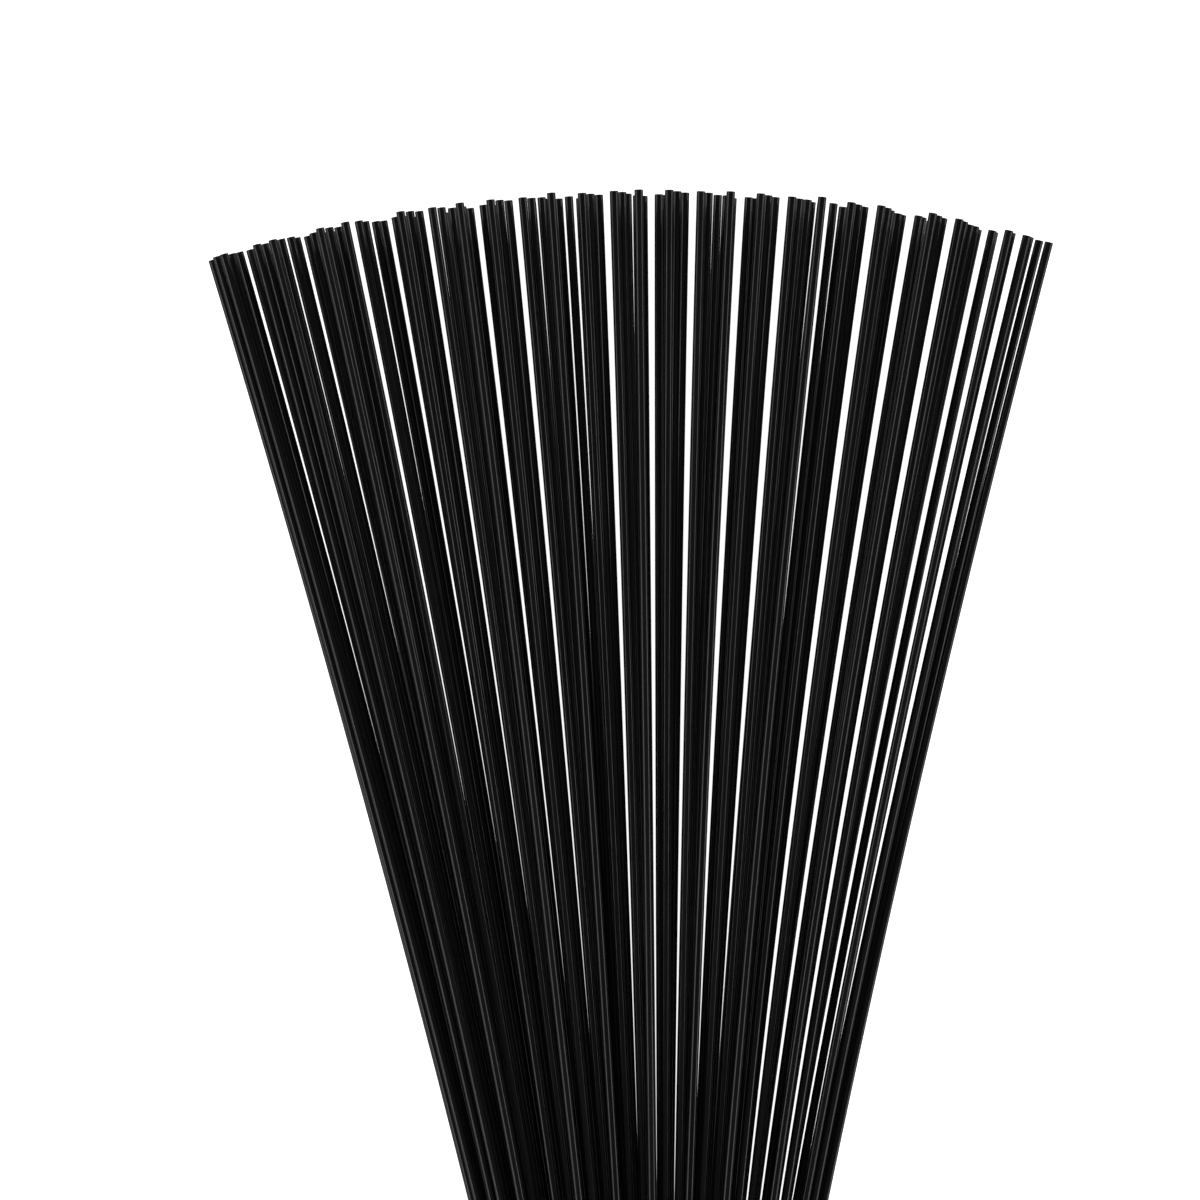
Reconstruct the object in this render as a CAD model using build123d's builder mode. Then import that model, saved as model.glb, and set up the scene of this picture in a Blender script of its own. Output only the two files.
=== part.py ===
from build123d import *
from math import asin, degrees, hypot, sqrt
import os

# Retractable nylon drum brush, lying on its side with its fan flat.
# Millimetres. The handle runs along Y, the bristle tips point to +Y, +Z is up and the
# handle rests on Z = 0. The origin is the centre of the whole brush, on that surface.
# Radii are measured from the handle's axis. Stations along it, whose names end in _at,
# are measured from the butt face of the handle towards the tips.

# Bristles
bristle_diameter = 0.8
bristle_gap = 0.02          # between neighbours where the bundle is bound
bristle_reach = 156.0       # mouth of the handle to the longest tip
bundle_half_count = 5.9     # pitches from the middle of the bundle to its edge
row_count = 13              # layers of bristles, one above the other
edge_depth = 0.6            # pitches from the outermost bristle in that still count as the edge
fan_width = 79.2            # across the tips
fan_thickening = 1.15       # tip height of a layer over its height in the bundle
tip_arc_radius = 148.0      # curve that the tips are trimmed to
flare = 0.19                # part of the sideways spread that is added by the outward curve
neck_inset = 1.0            # bend of the bristles to the mouth
neck_bend_radius = 40.0
edge_crowding = 0.2         # how much closer the bristles stand at the sides than in the middle
crowding_power = 5          # odd, and the higher it is, the nearer the crowding keeps to the sides
layer_drift = 0.2           # greatest sideways shift of a layer, in pitches
tip_stray = 0.2             # greatest sideways stray of one tip
length_stray = 0.15         # greatest difference in length of one bristle

# Ferrule and what it holds
butt_thickness = 1.6        # disc that the bristle ends are melted into
binding_thickness = 0.2
binding_width = 4.0
bond_clearance = 0.02       # between pieces that are glued or screwed together
pocket_depth = 11.0
ferrule_wall = 0.65
ferrule_tail = 6.0
ferrule_edge = 0.3
friction_ring_section = 1.4
locknut_width = 8.0         # across flats
locknut_thickness = 3.0
buffer_thickness = 3.0
buffer_wall = 1.6

# Pull rod and cap
rod_diameter = 5.0
rod_thread_depth = 5.0
cap_dome_height = 3.3
cap_band = 0.5
cap_edge_radius = 0.4
cap_insert_wall = 1.1
cap_insert_length = 5.0
spigot_wall = 0.7
spigot_length = 5.5
seam_gap = 0.15             # cap to handle, seen as a thin line

# Handle
sliding_clearance = 0.08
tube_wall = 0.55
sleeve_wall = 1.0
sleeve_edge = 0.25
bush_depth = 18.0
bush_flange = 1.2
spigot_floor_clearance = 0.5
wiper_width = 2.0
wiper_height = 1.0
set_screw_diameter = 2.5
set_screw_length = 2.6
set_screw_socket = 1.3      # across flats, and deep
collar_wall = 0.85
collar_skirt = 7.0          # part of the nose collar that covers the tube
throat_length = 5.0
throat_clearance = 0.45     # bundle to throat
mouth_flare = 1.0
mouth_wall = 0.8
stop_clearance = 0.05       # ferrule to collar with the fan fully out
tip_cover = 1.0             # depth of the tips in the mouth when drawn in
spare_length = 3.0          # buffer to bush when drawn in

# Bundle, as a honeycomb of round bristles
bristle_pitch = bristle_diameter + bristle_gap
layer_pitch = bristle_pitch * sqrt(3) / 2


def bundle_layer(row):
    """Middle height of a layer in the bundle and the sideways places of its bristles."""
    level = row - row_count // 2
    height = level * layer_pitch
    half_chord = sqrt((bundle_half_count * bristle_pitch) ** 2 - height ** 2)
    shift = 0.5 if level % 2 else 0.0
    side_count = int(half_chord / bristle_pitch - shift)
    first = -side_count - shift
    count = 2 * side_count + 1 + int(2 * shift)
    return height, [(first + place) * bristle_pitch for place in range(count)]


layers = [bundle_layer(row) for row in range(row_count)]
bundle_radius = max(hypot(x, height) for height, places in layers for x in places) + bristle_diameter / 2
outer_place = max(x for height, places in layers for x in places)

# Radii, from the bundle outwards
pocket_radius = bundle_radius + binding_thickness + 2 * bond_clearance
ferrule_radius = pocket_radius + ferrule_wall
bore_radius = ferrule_radius + sliding_clearance
tube_radius = bore_radius + tube_wall
sleeve_bore_radius = tube_radius + bond_clearance
handle_radius = sleeve_bore_radius + sleeve_wall
throat_radius = bundle_radius + throat_clearance
collar_radius = sleeve_bore_radius + collar_wall
mouth_radius = throat_radius + mouth_flare
nose_radius = mouth_radius + mouth_wall
rod_radius = rod_diameter / 2
rod_bore_radius = rod_radius + sliding_clearance
insert_radius = rod_radius + bond_clearance + cap_insert_wall
spigot_radius = insert_radius + bond_clearance + spigot_wall
bush_radius = bore_radius - bond_clearance
ring_section_radius = friction_ring_section / 2
ring_path_radius = ferrule_radius - ring_section_radius
groove_radius = ring_path_radius - ring_section_radius - bond_clearance

# Stations along the handle
stroke = bristle_reach + tip_cover
ferrule_length = pocket_depth + ferrule_tail
buffer_front_at = bush_depth + spare_length + buffer_thickness + stroke
locknut_front_at = buffer_front_at + locknut_thickness
ferrule_front_at = locknut_front_at + ferrule_length
tube_front_at = ferrule_front_at + stop_clearance
mouth_at = tube_front_at + throat_length
sleeve_front_at = tube_front_at - collar_skirt
pocket_floor_at = ferrule_front_at - pocket_depth
neck_at = mouth_at - neck_inset
tips_at = mouth_at + bristle_reach
cap_face_at = -seam_gap
cap_rim_at = cap_face_at - cap_band
cap_top_at = cap_rim_at - cap_dome_height
rod_back_at = spigot_length - cap_insert_length + cap_face_at
rod_front_at = locknut_front_at + rod_thread_depth
screws_at = bush_depth / 2

# Placing: a section plane holds radius along X and station along Y
butt_y = -(tips_at + cap_top_at) / 2
section = Plane(origin=(0, butt_y, handle_radius), x_dir=(1, 0, 0), z_dir=(0, 0, 1))
handle_axis = Axis((0, 0, handle_radius), (0, 1, 0))


def station_plane(station):
    """Plane square to the handle's axis, facing the tips."""
    return Plane(origin=(0, butt_y + station, handle_radius), x_dir=(1, 0, 0), z_dir=(0, 1, 0))


def save(piece, name):
    piece.part.label = name
    export_step(piece.part, f"parts/{name}.step")


def plain_ring(name, inner, outer, back_at, front_at):
    """Turned ring with a square section."""
    with BuildPart() as ring:
        with BuildSketch(section):
            with Locations(((inner + outer) / 2, (back_at + front_at) / 2)):
                Rectangle(outer - inner, front_at - back_at)
        revolve(axis=handle_axis)
    save(ring, name)


def circle_edges(piece, radius):
    """Round edges of one radius, from the butt to the tips."""
    rounds = piece.edges().filter_by(GeomType.CIRCLE)
    return rounds.filter_by(lambda edge: abs(edge.radius - radius) < 1e-4).sort_by(Axis.Y)


def make_handle_tube():
    with BuildPart() as handle_tube:
        with BuildSketch(section):
            with Locations(((bore_radius + tube_radius) / 2, (bush_flange + tube_front_at) / 2)):
                Rectangle(tube_wall, tube_front_at - bush_flange)
        revolve(axis=handle_axis)
        with BuildSketch(Plane.YZ):
            with Locations((butt_y + screws_at, handle_radius)):
                Circle(set_screw_diameter / 2 + bond_clearance)
        extrude(amount=2 * tube_radius, both=True, mode=Mode.SUBTRACT)
    save(handle_tube, "handle_tube")


def make_grip_sleeve():
    with BuildPart() as grip_sleeve:
        with BuildSketch(section):
            with Locations((sleeve_bore_radius + sleeve_wall / 2, sleeve_front_at / 2)):
                Rectangle(sleeve_wall, sleeve_front_at)
        revolve(axis=handle_axis)
        rims = circle_edges(grip_sleeve, handle_radius)
        fillet(rims[0], radius=sleeve_edge / 2)
        fillet(rims[-1], radius=sleeve_edge * 2)
    save(grip_sleeve, "grip_sleeve")


def make_nose_collar():
    with BuildPart() as nose_collar:
        with BuildSketch(section):
            with BuildLine():
                Polyline(
                    (throat_radius, mouth_at - mouth_flare),
                    (throat_radius, tube_front_at),
                    (sleeve_bore_radius, tube_front_at),
                    (sleeve_bore_radius, sleeve_front_at),
                    (collar_radius, sleeve_front_at),
                    (collar_radius, tube_front_at),
                    (nose_radius, mouth_at),
                    (mouth_radius, mouth_at),
                )
                RadiusArc(
                    (mouth_radius, mouth_at), (throat_radius, mouth_at - mouth_flare), mouth_flare
                )
            make_face()
        revolve(axis=handle_axis)
        fillet(circle_edges(nose_collar, nose_radius), radius=mouth_wall / 2)
        chamfer(circle_edges(nose_collar, collar_radius)[0], length=sleeve_edge)
    save(nose_collar, "nose_collar")


def make_rear_bush():
    counterbore_floor_at = spigot_length + cap_face_at + spigot_floor_clearance
    spigot_bore = spigot_radius + sliding_clearance
    wiper_back_at = bush_depth - 2 * wiper_width
    with BuildPart() as rear_bush:
        with BuildSketch(section):
            with BuildLine():
                Polyline(
                    (spigot_bore, 0),
                    (tube_radius, 0),
                    (tube_radius, bush_flange),
                    (bush_radius, bush_flange),
                    (bush_radius, bush_depth),
                    (rod_bore_radius, bush_depth),
                    (rod_bore_radius, counterbore_floor_at),
                    (spigot_bore, counterbore_floor_at),
                    close=True,
                )
            make_face()
            with Locations((rod_bore_radius + wiper_height / 2, wiper_back_at + wiper_width / 2)):
                Rectangle(wiper_height, wiper_width, mode=Mode.SUBTRACT)
        revolve(axis=handle_axis)
        for side in (1, -1):
            with BuildSketch(Plane.YZ.offset(side * (tube_radius - set_screw_length))):
                with Locations((butt_y + screws_at, handle_radius)):
                    Circle(set_screw_diameter / 2 + bond_clearance)
            extrude(amount=side * set_screw_length, mode=Mode.SUBTRACT)
    save(rear_bush, "rear_bush")
    plain_ring(
        "wiper_ring",
        rod_bore_radius,
        rod_bore_radius + wiper_height - bond_clearance,
        wiper_back_at + bond_clearance,
        wiper_back_at + wiper_width - bond_clearance,
    )


def make_bush_screws():
    """Two hexagon-socket set screws, one on each side, sunk just under the tube's surface."""
    head_radius = sqrt(tube_radius ** 2 - (set_screw_diameter / 2) ** 2)
    point_radius = tube_radius - set_screw_length + bond_clearance
    with BuildPart() as bush_screws:
        for side in (1, -1):
            with BuildSketch(Plane.YZ.offset(side * head_radius)):
                with Locations((butt_y + screws_at, handle_radius)):
                    Circle(set_screw_diameter / 2)
            extrude(amount=side * (point_radius - head_radius))
            with BuildSketch(Plane.YZ.offset(side * head_radius)):
                with Locations((butt_y + screws_at, handle_radius)):
                    RegularPolygon(set_screw_socket / 2, 6, major_radius=False)
            extrude(amount=-side * set_screw_socket, mode=Mode.SUBTRACT)
    save(bush_screws, "bush_screws")


def make_pull_rod():
    with BuildPart() as pull_rod:
        with BuildSketch(station_plane(rod_back_at)):
            Circle(rod_radius)
        extrude(amount=rod_front_at - rod_back_at)
        chamfer(pull_rod.edges().filter_by(GeomType.CIRCLE), length=ferrule_edge)
    save(pull_rod, "pull_rod")


def make_pull_cap():
    dome_radius = (handle_radius ** 2 + cap_dome_height ** 2) / (2 * cap_dome_height)
    dome_sweep = degrees(asin(handle_radius / dome_radius))
    spigot_end_at = cap_face_at + spigot_length
    with BuildPart() as pull_cap:
        with BuildSketch(section):
            with BuildLine():
                CenterArc((0, cap_top_at + dome_radius), dome_radius, -90, dome_sweep)
                Polyline(
                    (handle_radius, cap_rim_at),
                    (handle_radius, cap_face_at),
                    (spigot_radius, cap_face_at),
                    (spigot_radius, spigot_end_at),
                    (insert_radius + bond_clearance, spigot_end_at),
                    (insert_radius + bond_clearance, rod_back_at - bond_clearance),
                    (0, rod_back_at - bond_clearance),
                    (0, cap_top_at),
                )
            make_face()
        revolve(axis=handle_axis)
        fillet(circle_edges(pull_cap, handle_radius)[0], radius=cap_edge_radius)
    save(pull_cap, "pull_cap")
    plain_ring(
        "cap_insert", rod_radius + bond_clearance, insert_radius, rod_back_at, spigot_end_at
    )


def make_ferrule():
    tail_at = ferrule_front_at - ferrule_length
    groove_middle_at = (tail_at + pocket_floor_at) / 2
    with BuildPart() as ferrule:
        with BuildSketch(station_plane(tail_at)):
            Circle(ferrule_radius)
        extrude(amount=ferrule_length)
        with BuildSketch(station_plane(pocket_floor_at)):
            Circle(pocket_radius)
        extrude(amount=pocket_depth, mode=Mode.SUBTRACT)
        with BuildSketch(station_plane(tail_at)):
            Circle(rod_radius + bond_clearance)
        extrude(amount=rod_thread_depth + bond_clearance, mode=Mode.SUBTRACT)
        with BuildSketch(section):
            with Locations(((groove_radius + handle_radius) / 2, groove_middle_at)):
                Rectangle(handle_radius - groove_radius, friction_ring_section + 2 * bond_clearance)
        revolve(axis=handle_axis, mode=Mode.SUBTRACT)
        ends = circle_edges(ferrule, ferrule_radius)
        chamfer([ends[0], ends[-1]], length=ferrule_edge)
    save(ferrule, "ferrule")
    with BuildPart() as friction_ring:
        with BuildSketch(section):
            with Locations((ring_path_radius, groove_middle_at)):
                Circle(ring_section_radius)
        revolve(axis=handle_axis)
    save(friction_ring, "friction_ring")


def make_locknut():
    with BuildPart() as rod_locknut:
        with BuildSketch(station_plane(buffer_front_at)):
            RegularPolygon(locknut_width / 2, 6, major_radius=False)
            Circle(rod_radius + bond_clearance, mode=Mode.SUBTRACT)
        extrude(amount=locknut_thickness)
    save(rod_locknut, "rod_locknut")
    plain_ring(
        "rod_buffer",
        rod_radius + bond_clearance,
        rod_radius + bond_clearance + buffer_wall,
        buffer_front_at - buffer_thickness,
        buffer_front_at,
    )


def make_fused_butt():
    with BuildPart() as fused_butt:
        with BuildSketch(station_plane(pocket_floor_at)):
            Circle(bundle_radius)
        extrude(amount=butt_thickness)
    save(fused_butt, "fused_butt")
    plain_ring(
        "bundle_band",
        bundle_radius + bond_clearance,
        pocket_radius - bond_clearance,
        ferrule_front_at - binding_width,
        ferrule_front_at,
    )


def spread_share(fraction):
    """Share of a bristle's sideways spread that it has reached this far along."""
    return (1 - flare) * fraction + flare * fraction ** 2


def stray(seed):
    """Fixed irregularity between -1 and 1, from multiples of the golden ratio."""
    return 2 * ((seed * (sqrt(5) - 1) / 2 + 0.5) % 1) - 1


def drifted(row, side):
    """Place of a bristle after its layer's own sideways shift."""
    return side - layer_drift * bristle_pitch * stray(row - row_count // 2)


def tip_of(row, place):
    """Tip of a bristle: sideways, along the handle, and up from the handle's axis."""
    height, places = layers[row]
    widest = max(drifted(level, max(sides)) for level, (_, sides) in enumerate(layers))
    seed = row * 31 + (len(places) - 1 - place) * 7 + 1
    share = drifted(row, places[place]) / widest
    spread = (1 + edge_crowding) * share - edge_crowding * share ** crowding_power
    side = (fan_width - bristle_diameter) / 2 * spread
    if abs(places[place]) < outer_place:
        side -= tip_stray * stray(seed)
    trim = tip_arc_radius - sqrt(tip_arc_radius ** 2 - side ** 2)
    shortfall = length_stray * (1 - stray(seed + 3)) / 2
    return side, tips_at - trim - shortfall, fan_thickening * height


def bristle_route(row, place):
    """Corners of a bristle's path: fused butt, neck, outward curve and tip."""
    height, places = layers[row]
    base_side = places[place]
    tip_side, tip_at, tip_height = tip_of(row, place)
    middle_side = base_side + (tip_side - base_side) * spread_share(0.5)
    stations = (pocket_floor_at + butt_thickness, neck_at, (neck_at + tip_at) / 2, tip_at)
    sides = (base_side, base_side, middle_side, tip_side)
    heights = (height, height, (height + tip_height) / 2, tip_height)
    return [
        (side, butt_y + station, handle_radius + level)
        for side, station, level in zip(sides, stations, heights)
    ]


def make_bristle_group(name, members):
    with BuildPart() as bristles:
        for row, place in members:
            route = bristle_route(row, place)
            with BuildLine() as path:
                FilletPolyline(*route, radius=(neck_bend_radius, 0))
            with BuildSketch(Plane(origin=route[0], x_dir=(1, 0, 0), z_dir=(0, 1, 0))):
                Circle(bristle_diameter / 2)
            sweep(path=path.line, transition=Transition.RIGHT)
    save(bristles, name)


def make_bristles():
    """Each layer is a node, and the outermost bristles of each side are a node of their own."""
    edge_starts_at = outer_place - edge_depth * bristle_pitch
    left_edge, right_edge = [], []
    for row, (height, places) in enumerate(layers):
        numbered = list(enumerate(places))
        inner = [(row, place) for place, side in numbered if abs(side) < edge_starts_at]
        left_edge += [(row, place) for place, side in numbered if side <= -edge_starts_at]
        right_edge += [(row, place) for place, side in numbered if side >= edge_starts_at]
        make_bristle_group(f"bristle_layer_{row + 1:02d}", inner)
    make_bristle_group("edge_bristles_left", left_edge)
    make_bristle_group("edge_bristles_right", right_edge)


os.makedirs("parts", exist_ok=True)
make_handle_tube()
make_grip_sleeve()
make_nose_collar()
make_rear_bush()
make_bush_screws()
make_pull_rod()
make_pull_cap()
make_ferrule()
make_locknut()
make_fused_butt()
make_bristles()
print("handle diameter", round(2 * handle_radius, 3))
print("stroke", stroke, "handle length", round(mouth_at, 2))
print("overall length", round(tips_at - cap_top_at, 2))
print("bristles", sum(len(places) for height, places in layers))
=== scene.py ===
import math

import bmesh
import bpy
import numpy as np
from mathutils import Matrix, Vector


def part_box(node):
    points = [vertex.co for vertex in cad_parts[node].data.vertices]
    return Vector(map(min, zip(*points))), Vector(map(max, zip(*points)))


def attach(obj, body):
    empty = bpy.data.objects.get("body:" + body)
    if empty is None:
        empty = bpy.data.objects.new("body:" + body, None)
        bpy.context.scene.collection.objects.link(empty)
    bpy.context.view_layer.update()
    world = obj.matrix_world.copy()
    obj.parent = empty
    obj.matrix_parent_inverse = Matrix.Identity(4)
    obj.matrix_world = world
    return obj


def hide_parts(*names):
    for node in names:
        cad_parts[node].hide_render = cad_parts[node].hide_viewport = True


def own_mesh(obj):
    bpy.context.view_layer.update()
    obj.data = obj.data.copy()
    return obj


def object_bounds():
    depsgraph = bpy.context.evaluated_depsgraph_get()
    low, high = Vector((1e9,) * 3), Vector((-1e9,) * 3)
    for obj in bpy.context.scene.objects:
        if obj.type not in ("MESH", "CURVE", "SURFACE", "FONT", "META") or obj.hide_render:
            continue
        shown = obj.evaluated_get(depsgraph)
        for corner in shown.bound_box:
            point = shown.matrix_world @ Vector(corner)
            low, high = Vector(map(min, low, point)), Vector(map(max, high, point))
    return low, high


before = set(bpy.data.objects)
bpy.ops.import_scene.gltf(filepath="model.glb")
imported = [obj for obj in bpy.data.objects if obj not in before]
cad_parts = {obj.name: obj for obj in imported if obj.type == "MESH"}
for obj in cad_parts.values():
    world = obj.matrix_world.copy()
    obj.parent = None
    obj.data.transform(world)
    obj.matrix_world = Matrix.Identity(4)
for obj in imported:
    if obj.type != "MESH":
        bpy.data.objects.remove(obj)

cad_low, cad_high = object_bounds()

# Retractable nylon drum brush. Metres, in the CAD's frame: the handle lies along Y with the
# bristle tips at +Y, the fan is flat and spreads along X, and the handle rests on Z = 0.

MM = 0.001

BRISTLE_NODES = [
    *(f"bristle_layer_{n:02d}" for n in range(1, 14)), "edge_bristles_left", "edge_bristles_right"]

sleeve_low, sleeve_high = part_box("grip_sleeve")
AXIS_Z = (sleeve_low.z + sleeve_high.z) / 2
HANDLE_RADIUS = (sleeve_high.z - sleeve_low.z) / 2
MOUTH_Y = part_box("nose_collar")[1].y
TIPS_Y = cad_high.y
FAN_MIDDLE_Y = TIPS_Y - 60 * MM


# ---------------------------------------------------------------- colours and nodes

# Sockets of a colour Mix node, whose names are shared with its number and vector sockets
MIX_SHARE, MIX_FIRST, MIX_SECOND, MIX_RESULT = 0, 6, 7, 2

FINE_SHARE = 0.5                # of the fine grain in a finish's tone, beside the broad clouding
BROAD_OVER_FINE = 40            # size of the clouding over that of the grain
TONE_LOW, TONE_HIGH = 0.4, 1.1  # range of the two together


def linear(code):
    """An sRGB hex colour as linear red, green, blue and alpha."""
    parts = [int(code[i:i + 2], 16) / 255 for i in (1, 3, 5)]
    return (*(c / 12.92 if c <= 0.04045 else ((c + 0.055) / 1.055) ** 2.4 for c in parts), 1.0)


def add(tree, kind, settings=None, inputs=None):
    """A node with its settings. An input is a value, or a (node, output) pair to link from."""
    node = tree.nodes.new(kind)
    for key, value in (settings or {}).items():
        setattr(node, key, value)
    for key, value in (inputs or {}).items():
        if isinstance(value, tuple) and isinstance(value[0], bpy.types.Node):
            tree.links.new(value[0].outputs[value[1]], node.inputs[key])
        else:
            node.inputs[key].default_value = value
    return node


def per_mm(size):
    """Noise scale, in object space in metres, whose features are about this many mm across."""
    return 1 / (size * MM)


def surface(name, settings):
    """A new material with a Principled surface that has these values on its own sockets."""
    material = bpy.data.materials.new(name)
    material.use_nodes = True
    tree = material.node_tree
    tree.nodes.clear()
    shader = add(tree, "ShaderNodeBsdfPrincipled", inputs=settings)
    add(tree, "ShaderNodeOutputMaterial", inputs={"Surface": (shader, "BSDF")})
    return material, tree, shader


def textured(name, settings, grain, colours, rough, bump, stretch=(1, 1, 1)):
    """A finish whose colour, roughness and relief all vary.

    grain is the size in mm of the fine texture, colours the darker and lighter tone, rough the
    lowest and highest roughness, and bump the height of the texture in mm. A stretch under 1
    along an axis draws the pattern out along it.
    """
    material, tree, shader = surface(name, settings)
    own_space = add(tree, "ShaderNodeTexCoord")
    place = add(tree, "ShaderNodeMapping", inputs={
        "Vector": (own_space, "Object"), "Scale": stretch})
    fine = add(tree, "ShaderNodeTexNoise", inputs={
        "Vector": (place, "Vector"), "Scale": per_mm(grain), "Detail": 3.0, "Roughness": 0.55})
    broad = add(tree, "ShaderNodeTexNoise", inputs={
        "Vector": (place, "Vector"), "Scale": per_mm(BROAD_OVER_FINE * grain), "Detail": 2.0})
    tone = add(tree, "ShaderNodeMath", {"operation": "MULTIPLY_ADD"}, {
        0: (fine, "Fac"), 1: FINE_SHARE, 2: (broad, "Fac")})
    spread = add(tree, "ShaderNodeMapRange", inputs={
        "Value": (tone, 0), "From Min": TONE_LOW, "From Max": TONE_HIGH})
    shade = add(tree, "ShaderNodeMix", {"data_type": "RGBA"}, {
        MIX_SHARE: (spread, 0), MIX_FIRST: linear(colours[0]), MIX_SECOND: linear(colours[1])})
    dull = add(tree, "ShaderNodeMapRange", inputs={
        "Value": (tone, 0), "From Min": TONE_LOW, "From Max": TONE_HIGH,
        "To Min": rough[0], "To Max": rough[1]})
    relief = add(tree, "ShaderNodeBump", inputs={
        "Height": (fine, "Fac"), "Strength": 1.0, "Distance": bump * MM})
    tree.links.new(shade.outputs[MIX_RESULT], shader.inputs["Base Color"])
    tree.links.new(dull.outputs[0], shader.inputs["Roughness"])
    tree.links.new(relief.outputs["Normal"], shader.inputs["Normal"])
    return material


def finish_for(node, material):
    """A CAD node keeps its shape and takes this finish."""
    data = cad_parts[node].data
    data.materials.clear()
    data.materials.append(material)


# ---------------------------------------------------------------- finishes

# Soft-touch elastomer coat, sprayed: a dead matte near-black that lightens only where it
# turns away.
soft_touch = textured(
    "soft_touch_coat", {"IOR": 1.45, "Sheen Weight": 0.25, "Sheen Roughness": 0.45},
    grain=0.35, colours=("#1d1d1e", "#242425"), rough=(0.62, 0.72), bump=0.012)

# The cap is moulded and gets the same coat, a little lighter and smoother over the dome.
cap_coat = textured(
    "soft_touch_cap", {"IOR": 1.45, "Sheen Weight": 0.2, "Sheen Roughness": 0.45},
    grain=0.3, colours=("#222223", "#29292a"), rough=(0.5, 0.6), bump=0.008)

# Black anodised aluminium, bead blasted: a satin black with a soft band of light.
anodised = textured(
    "black_anodised_aluminium", {"Metallic": 1.0},
    grain=0.18, colours=("#2b2b2f", "#3c3c40"), rough=(0.34, 0.46), bump=0.006)

# Drawn aluminium tube: bright, with fine lines along the draw.
tube_metal = textured(
    "drawn_aluminium_tube", {"Metallic": 1.0},
    grain=0.25, colours=("#b4b5b8", "#cfd0d2"), rough=(0.28, 0.42), bump=0.004,
    stretch=(1, 0.02, 1))

# Ground aluminium rod: satin, with the faint rings of centreless grinding.
rod_metal = textured(
    "ground_aluminium_rod", {"Metallic": 1.0},
    grain=0.4, colours=("#b9babd", "#d2d3d5"), rough=(0.22, 0.34), bump=0.003,
    stretch=(0.15, 1, 0.15))

# Turned brass: warm, with fine tool rings round it.
brass = textured(
    "turned_brass", {"Metallic": 1.0},
    grain=0.3, colours=("#b48a45", "#d2aa62"), rough=(0.24, 0.38), bump=0.005,
    stretch=(0.1, 1, 0.1))

# Zinc-plated steel: bluish grey and slightly clouded.
plated_steel = textured(
    "zinc_plated_steel", {"Metallic": 1.0},
    grain=0.3, colours=("#86888c", "#a9abae"), rough=(0.3, 0.45), bump=0.004)

# Turned acetal: black and waxy, with fine tool rings.
acetal = textured(
    "turned_acetal", {"IOR": 1.48},
    grain=0.3, colours=("#161617", "#202021"), rough=(0.38, 0.5), bump=0.006,
    stretch=(0.1, 1, 0.1))

# Nitrile rubber, moulded: matte and slightly dusty.
nitrile = textured(
    "nitrile_rubber", {"IOR": 1.52},
    grain=0.25, colours=("#151515", "#1f1f1f"), rough=(0.55, 0.7), bump=0.01)

# Nylon melted into a disc: glossy and lumpy.
melted_nylon = textured(
    "melted_nylon", {"IOR": 1.53},
    grain=0.8, colours=("#0c0c0d", "#161617"), rough=(0.2, 0.35), bump=0.06)

# Screen-printed ink: a thin opaque white with a slightly uneven surface.
ink = textured(
    "screen_printed_ink", {"IOR": 1.5},
    grain=0.2, colours=("#f0f0ee", "#fbfbf9"), rough=(0.45, 0.6), bump=0.006)

# Nylon where the blade went through: duller and greyer than along the bristle.
cut_nylon = textured(
    "cut_nylon_end", {"IOR": 1.53},
    grain=0.1, colours=("#131314", "#242425"), rough=(0.45, 0.65), bump=0.01)


def filament_nylon():
    """Extruded black nylon: deep black with a satin shine and faint die lines along it.

    Die lines are some hundredths of a millimetre apart on the real filament and drawn at
    0.15 mm, which is as fine as still shows. Each bristle has a tone of its own beside them.
    """
    line_pitch, line_share = 0.15, 0.35
    tone_low, tone_high = 0.1, 1.2
    material, tree, shader = surface("extruded_black_nylon", {"IOR": 1.53})
    own_space = add(tree, "ShaderNodeTexCoord")
    place = add(tree, "ShaderNodeMapping", inputs={
        "Vector": (own_space, "Object"), "Scale": (1, 0.01, 1)})
    lines = add(tree, "ShaderNodeTexNoise", inputs={
        "Vector": (place, "Vector"), "Scale": per_mm(line_pitch), "Detail": 2.0})
    own = add(tree, "ShaderNodeAttribute", {"attribute_name": "filament_tone"})
    tone = add(tree, "ShaderNodeMath", {"operation": "MULTIPLY_ADD"}, {
        0: (lines, "Fac"), 1: line_share, 2: (own, "Fac")})
    spread = add(tree, "ShaderNodeMapRange", inputs={
        "Value": (tone, 0), "From Min": tone_low, "From Max": tone_high})
    shade = add(tree, "ShaderNodeMix", {"data_type": "RGBA"}, {
        MIX_SHARE: (spread, 0), MIX_FIRST: linear("#060607"), MIX_SECOND: linear("#0f0f10")})
    dull = add(tree, "ShaderNodeMapRange", inputs={
        "Value": (tone, 0), "From Min": tone_low, "From Max": tone_high,
        "To Min": 0.13, "To Max": 0.22})
    relief = add(tree, "ShaderNodeBump", inputs={
        "Height": (lines, "Fac"), "Strength": 1.0, "Distance": 0.003 * MM})
    tree.links.new(shade.outputs[MIX_RESULT], shader.inputs["Base Color"])
    tree.links.new(dull.outputs[0], shader.inputs["Roughness"])
    tree.links.new(relief.outputs["Normal"], shader.inputs["Normal"])
    return material


nylon = filament_nylon()

finish_for("grip_sleeve", soft_touch)
finish_for("pull_cap", cap_coat)
finish_for("nose_collar", anodised)
finish_for("handle_tube", tube_metal)
finish_for("pull_rod", rod_metal)
for node in ("cap_insert", "ferrule"):
    finish_for(node, brass)
for node in ("bush_screws", "rod_locknut", "bundle_band"):
    finish_for(node, plated_steel)
for node in ("wiper_ring", "rod_buffer", "friction_ring"):
    finish_for(node, nitrile)
finish_for("rear_bush", acetal)
finish_for("fused_butt", melted_nylon)


# ---------------------------------------------------------------- bristles

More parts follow.
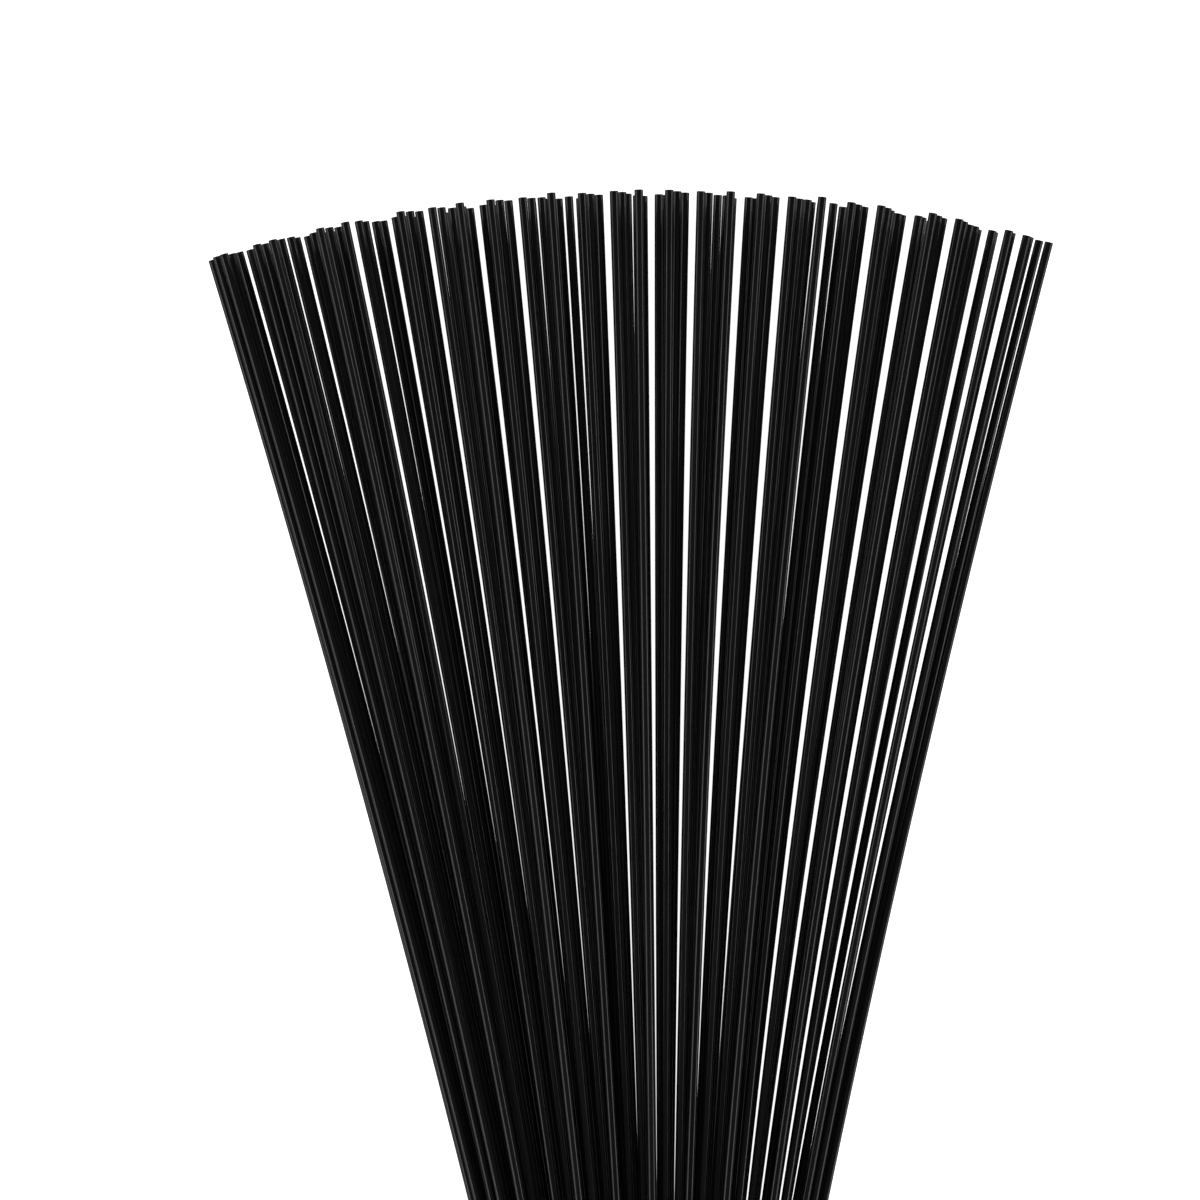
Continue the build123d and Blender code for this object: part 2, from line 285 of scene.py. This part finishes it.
BRISTLE_RADIUS = 0.4 * MM
SIDES = 18                      # facets round one filament
STATIONS = 40                   # rings along one filament
FLARE = 0.19                    # share of the spread that comes from the outward curve
BEND_LENGTH = 3.5 * MM          # over which a bristle turns out of the bundle
NECK_Y = MOUTH_Y - 1.0 * MM     # middle of that bend
RIM = 0.05 * MM                 # blunted edge of a cut end
RIM_TURN = 0.3                  # of the rim, where its blunting starts to level off
CROWN = 0.03 * MM               # height of a cut end's middle over its rim
GOLDEN = 0.618034               # spaces the bristles' tones evenly

WELD = 0.0005 * MM              # between corners that are one
BASE_SLICE = 0.05 * MM          # of a CAD bristle, whose middle is its base
TIP_SLICE = 0.3 * MM            # of a CAD bristle, whose middle is its tip


def islands(mesh):
    """The separate bodies of a mesh, each as an array of its corners' places."""
    seen = set()
    for start in mesh.verts:
        if start in seen:
            continue
        places, front = [], [start]
        seen.add(start)
        while front:
            vertex = front.pop()
            places.append(vertex.co.copy())
            for edge in vertex.link_edges:
                other = edge.other_vert(vertex)
                if other not in seen:
                    seen.add(other)
                    front.append(other)
        yield np.array(places)


def filament_ends(node):
    """Centre of the base and of the tip of every filament in a CAD node."""
    mesh = bmesh.new()
    mesh.from_mesh(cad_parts[node].data)
    bmesh.ops.remove_doubles(mesh, verts=mesh.verts, dist=WELD)
    ends = []
    for places in islands(mesh):
        low, high = places[:, 1].min(), places[:, 1].max()
        base = places[places[:, 1] < low + BASE_SLICE].mean(0)
        tip = places[places[:, 1] > high - TIP_SLICE].mean(0)
        ends.append((Vector(base), Vector(tip)))
    mesh.free()
    return ends


def past_neck(y):
    """Distance past the neck, eased so that the bristle bends instead of breaking."""
    distance = y - NECK_Y
    return (distance + math.sqrt(distance ** 2 + BEND_LENGTH ** 2)) / 2


def filament_line(base, tip):
    """Points along a filament: straight in the bundle, then spreading and curving outwards."""
    points = []
    for step in range(STATIONS):
        y = base.y + (tip.y - base.y) * step / (STATIONS - 1)
        run = past_neck(y) / past_neck(tip.y)
        spread = run * (1 - FLARE) + FLARE * run ** 2
        x = base.x + (tip.x - base.x) * spread
        points.append(Vector((x, y, base.z + (tip.z - base.z) * run)))
    return points


def add_ring(mesh, centre, along, radius):
    side = along.cross(Vector((0, 0, 1))).normalized()
    rise = side.cross(along)
    angles = [2 * math.pi * n / SIDES for n in range(SIDES)]
    return [
        mesh.verts.new(centre + radius * (math.cos(a) * side + math.sin(a) * rise))
        for a in angles]


def add_filament(mesh, tone_layer, tone, base, tip):
    """One bristle as a closed rod with a blunted, slightly crowned cut at its tip."""
    line = filament_line(base, tip)
    along = [(b - a).normalized() for a, b in zip(line, line[1:])]
    end = along[-1]
    rings = [add_ring(mesh, p, d, BRISTLE_RADIUS) for p, d in zip(line, along)]
    turn_at = RIM * RIM_TURN
    rings.append(add_ring(mesh, line[-1] - end * RIM, end, BRISTLE_RADIUS))
    rings.append(add_ring(mesh, line[-1] - end * turn_at, end, BRISTLE_RADIUS - turn_at))
    rings.append(add_ring(mesh, line[-1], end, BRISTLE_RADIUS - RIM))
    crown = mesh.verts.new(line[-1] + end * CROWN)
    for n, (below, above) in enumerate(zip(rings, rings[1:])):
        for k in range(SIDES):
            face = mesh.faces.new((below[k], below[k - 1], above[k - 1], above[k]))
            face.smooth = True
            face.material_index = int(n >= STATIONS - 1)
    for k in range(SIDES):
        face = mesh.faces.new((rings[-1][k], rings[-1][k - 1], crown))
        face.smooth = True
        face.material_index = 1
    mesh.faces.new(rings[0])
    for vertex in [crown, *(v for ring in rings for v in ring)]:
        vertex[tone_layer] = tone


def make_bristles(node, first):
    """All filaments of one CAD node as one piece, which rides on the slider."""
    ends = filament_ends(node)
    mesh = bmesh.new()
    tone_layer = mesh.verts.layers.float.new("filament_tone")
    for n, (base, tip) in enumerate(ends):
        add_filament(mesh, tone_layer, (first + n) * GOLDEN % 1, base, tip)
    bmesh.ops.recalc_face_normals(mesh, faces=mesh.faces)
    data = bpy.data.meshes.new(node + "_filaments")
    mesh.to_mesh(data)
    mesh.free()
    data.materials.append(nylon)
    data.materials.append(cut_nylon)
    piece = bpy.data.objects.new(node + "_filaments", data)
    bpy.context.scene.collection.objects.link(piece)
    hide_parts(node)
    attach(piece, "slider")
    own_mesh(piece)
    return len(ends)


made = 0
for node in BRISTLE_NODES:
    made += make_bristles(node, made)


# ---------------------------------------------------------------- printed marks

MARK_START = 42.6 * MM          # from the butt face to the first bar
MARK_LENGTH = 6.4 * MM
MARK_GAP = 1.6 * MM
MARK_WIDTH = 2.25 * MM
MARK_COUNT = 4
MARK_TURN = 15.7                # degrees from the top towards +X
MARK_HEIGHT = 0.03 * MM         # thickness of the ink
MARK_CORNER = 0.35 * MM
CORNER_STEPS = 6                # facets to a corner
MARK_STRIPS = 12                # facets across a bar, which let it follow the round handle


def bar_outline():
    """A bar with rounded corners, as (across, along) from its middle."""
    corners = [(1, 1, 0), (-1, 1, 90), (-1, -1, 180), (1, -1, 270)]
    points = []
    for right, front, start in corners:
        for step in range(CORNER_STEPS + 1):
            angle = math.radians(start + 90 * step / CORNER_STEPS)
            points.append((
                right * (MARK_WIDTH / 2 - MARK_CORNER) + MARK_CORNER * math.cos(angle),
                front * (MARK_LENGTH / 2 - MARK_CORNER) + MARK_CORNER * math.sin(angle)))
    return points


def on_handle(across, y, height):
    """A point on the sleeve, this far round it from the line of the marks."""
    angle = math.radians(MARK_TURN) + across / HANDLE_RADIUS
    radius = HANDLE_RADIUS + height
    return Vector((radius * math.sin(angle), y, AXIS_Z + radius * math.cos(angle)))


def number_by_place(items, place):
    """Puts corners, edges or faces in the order of their places, since cuts leave any order."""
    for number, item in enumerate(sorted(items, key=lambda item: tuple(place(item)))):
        item.index = number
    items.sort()


def make_marks():
    """Four plain bars, made flat, thickened and then wrapped round the sleeve."""
    mesh = bmesh.new()
    for n in range(MARK_COUNT):
        middle = sleeve_low.y + MARK_START + MARK_LENGTH / 2 + n * (MARK_LENGTH + MARK_GAP)
        mesh.faces.new([
            mesh.verts.new(Vector((across, along + middle, 0))) for across, along in bar_outline()])
    for n in range(1, MARK_STRIPS):
        bmesh.ops.bisect_plane(
            mesh, geom=[*mesh.verts, *mesh.edges, *mesh.faces],
            plane_co=Vector((MARK_WIDTH * (n / MARK_STRIPS - 0.5), 0, 0)), plane_no=(1, 0, 0))
    raised = bmesh.ops.extrude_face_region(mesh, geom=list(mesh.faces))
    top = {v for v in raised["geom"] if isinstance(v, bmesh.types.BMVert)}
    for vertex in mesh.verts:
        height = MARK_HEIGHT if vertex in top else -MARK_HEIGHT
        vertex.co = on_handle(vertex.co.x, vertex.co.y, height)
    number_by_place(mesh.verts, lambda vertex: vertex.co)
    number_by_place(mesh.edges, lambda edge: edge.verts[0].co + edge.verts[1].co)
    number_by_place(mesh.faces, lambda face: face.calc_center_median())
    bmesh.ops.recalc_face_normals(mesh, faces=mesh.faces)
    data = bpy.data.meshes.new("print_marks")
    mesh.to_mesh(data)
    mesh.free()
    data.materials.append(ink)
    piece = bpy.data.objects.new("print_marks", data)
    bpy.context.scene.collection.objects.link(piece)
    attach(piece, "handle")


make_marks()


# ---------------------------------------------------------------- floor, light and camera

FLOOR_REACH = 12.0              # from the middle to the floor's edge
FLOOR_DROP = 0.02 * MM          # below the brush, so that the two surfaces don't flicker
FLOOR_NEAR, FLOOR_FAR = 0.11, 0.3           # from the fan's middle: still brightest, plain again
FLOOR_PAINTED_GLOW, FLOOR_PLAIN = 0.95, 0.62      # its painted glow there, which washes out the shadows under the fan

WALL_RADIUS = 11.0
WALL_FOOT, WALL_TOP = -0.5, 12.0
WALL_SIDES = 64
WALL_BRIGHT = 0.73


def stage_piece(name, vertices, faces, material):
    """Part of the studio and not of the brush."""
    data = bpy.data.meshes.new(name)
    data.from_pydata(vertices, [], faces)
    data.materials.append(material)
    material.cycles.emission_sampling = "NONE"
    piece = bpy.data.objects.new(name, data)
    bpy.context.scene.collection.objects.link(piece)
    return piece


def make_floor():
    """A large white floor with a painted glow, brightest under the fan, so that it stays white
    between the bristles where their shadows would fall.
    """
    material, tree, shader = surface("white_floor_painted_glow", {
        "Base Color": linear("#ececec"), "Roughness": 0.8, "Specular IOR Level": 0.0,
        "Emission Color": (1, 1, 1, 1)})
    place = add(tree, "ShaderNodeTexCoord")
    reach = add(tree, "ShaderNodeVectorMath", {"operation": "DISTANCE"}, {
        0: (place, "Object"), 1: (0, FAN_MIDDLE_Y, 0)})
    glow = add(tree, "ShaderNodeMapRange", {"interpolation_type": "SMOOTHSTEP"}, {
        "Value": (reach, "Value"), "From Min": FLOOR_NEAR, "From Max": FLOOR_FAR,
        "To Min": FLOOR_PAINTED_GLOW, "To Max": FLOOR_PLAIN})
    # Painted glow: the floor's own light rises under the fan to wash out the shadows cast by the
    # bristles.
    tree.links.new(glow.outputs[0], shader.inputs["Emission Strength"])
    corners = [
        (x * FLOOR_REACH, y * FLOOR_REACH, 0) for x, y in ((-1, -1), (1, -1), (1, 1), (-1, 1))]
    floor = stage_piece("floor", corners, [(0, 1, 2, 3)], material)
    floor.location.z = cad_low.z - FLOOR_DROP
    floor.visible_glossy = False


def make_backdrop():
    """A wall all round as light as the far floor, so that no horizon shows; it lights nothing."""
    turns = [math.tau * n / WALL_SIDES for n in range(WALL_SIDES)]
    vertices = [
        (WALL_RADIUS * math.cos(turn), WALL_RADIUS * math.sin(turn), z)
        for z in (WALL_FOOT, WALL_TOP) for turn in turns]
    faces = [
        (n, (n + 1) % WALL_SIDES, WALL_SIDES + (n + 1) % WALL_SIDES, WALL_SIDES + n)
        for n in range(WALL_SIDES)]
    material, tree, shader = surface("white_backdrop", {
        "Base Color": (0, 0, 0, 1), "Specular IOR Level": 0.0,
        "Emission Color": (1, 1, 1, 1), "Emission Strength": WALL_BRIGHT})
    wall = stage_piece("backdrop", vertices, faces, material)
    wall.visible_diffuse = wall.visible_glossy = wall.visible_shadow = False


def make_world():
    """Light round the horizon and dark overhead and below, so that round rods stay black."""
    world = bpy.data.worlds.new("studio")
    bpy.context.scene.world = world
    world.use_nodes = True
    tree = world.node_tree
    tree.nodes.clear()
    place = add(tree, "ShaderNodeTexCoord")
    parts = add(tree, "ShaderNodeSeparateXYZ", inputs={"Vector": (place, "Generated")})
    sky = add(tree, "ShaderNodeMapRange", inputs={
        "Value": (parts, "Z"), "From Min": 0.05, "From Max": 0.5, "To Min": 0.8, "To Max": 0.07})
    ground = add(tree, "ShaderNodeMapRange", inputs={
        "Value": (parts, "Z"), "From Min": -0.3, "From Max": 0.0, "To Min": 0.25, "To Max": 1.0})
    level = add(tree, "ShaderNodeMath", {"operation": "MULTIPLY"}, {0: (sky, 0), 1: (ground, 0)})
    glow = add(tree, "ShaderNodeBackground", inputs={
        "Color": (1, 1, 1, 1), "Strength": (level, 0)})
    add(tree, "ShaderNodeOutputWorld", inputs={"Surface": (glow, "Background")})


def make_light(name, place, aim, size, radiance, mirrored=True):
    """A soft box at place, turned to aim. Unless mirrored, it doesn't show in glossy surfaces."""
    data = bpy.data.lights.new(name, "AREA")
    data.shape = "RECTANGLE"
    data.size, data.size_y = size
    data.energy = radiance * math.pi * size[0] * size[1]
    light = bpy.data.objects.new(name, data)
    bpy.context.scene.collection.objects.link(light)
    light.location = place
    light.rotation_euler = (Vector(aim) - Vector(place)).to_track_quat("-Z", "Y").to_euler()
    light.visible_camera = False
    light.visible_glossy = mirrored


def make_camera():
    """Nearly straight over the fan, a little from the tips' side and turned by a degree."""
    lens, sensor = 82.7, 36.0
    distance = 260.7 * MM
    tilt, roll = math.radians(4.15), math.radians(1.18)
    aim = Vector((-3.43 * MM, TIPS_Y - 38.1 * MM, AXIS_Z))
    forward = Vector((0, -math.sin(tilt), -math.cos(tilt)))
    level_up = Vector((0, math.cos(tilt), -math.sin(tilt)))
    right = math.cos(roll) * Vector((1, 0, 0)) - math.sin(roll) * level_up
    up = math.cos(roll) * level_up + math.sin(roll) * Vector((1, 0, 0))
    data = bpy.data.cameras.new("camera")
    data.lens, data.sensor_width = lens, sensor
    data.clip_start, data.clip_end = 0.01, 50.0
    camera = bpy.data.objects.new("camera", data)
    bpy.context.scene.collection.objects.link(camera)
    turn = Matrix((right, up, -forward)).transposed().to_4x4()
    camera.matrix_world = Matrix.Translation(aim - forward * distance) @ turn
    bpy.context.scene.camera = camera


make_floor()
make_backdrop()
make_world()
fan_middle = (0, FAN_MIDDLE_Y, AXIS_Z)
make_light("left_box", (-0.75, 0.0, 0.42), fan_middle, (1.6, 0.22), 2.3)
make_light("right_box", (0.8, 0.0, 0.26), fan_middle, (1.6, 0.18), 2.3)
make_light("top_box", (0.0, 0.0, 1.2), (0, 0, 0), (1.4, 1.4), 1.6, mirrored=False)
make_camera()
bpy.context.scene.view_settings.view_transform = "Standard"
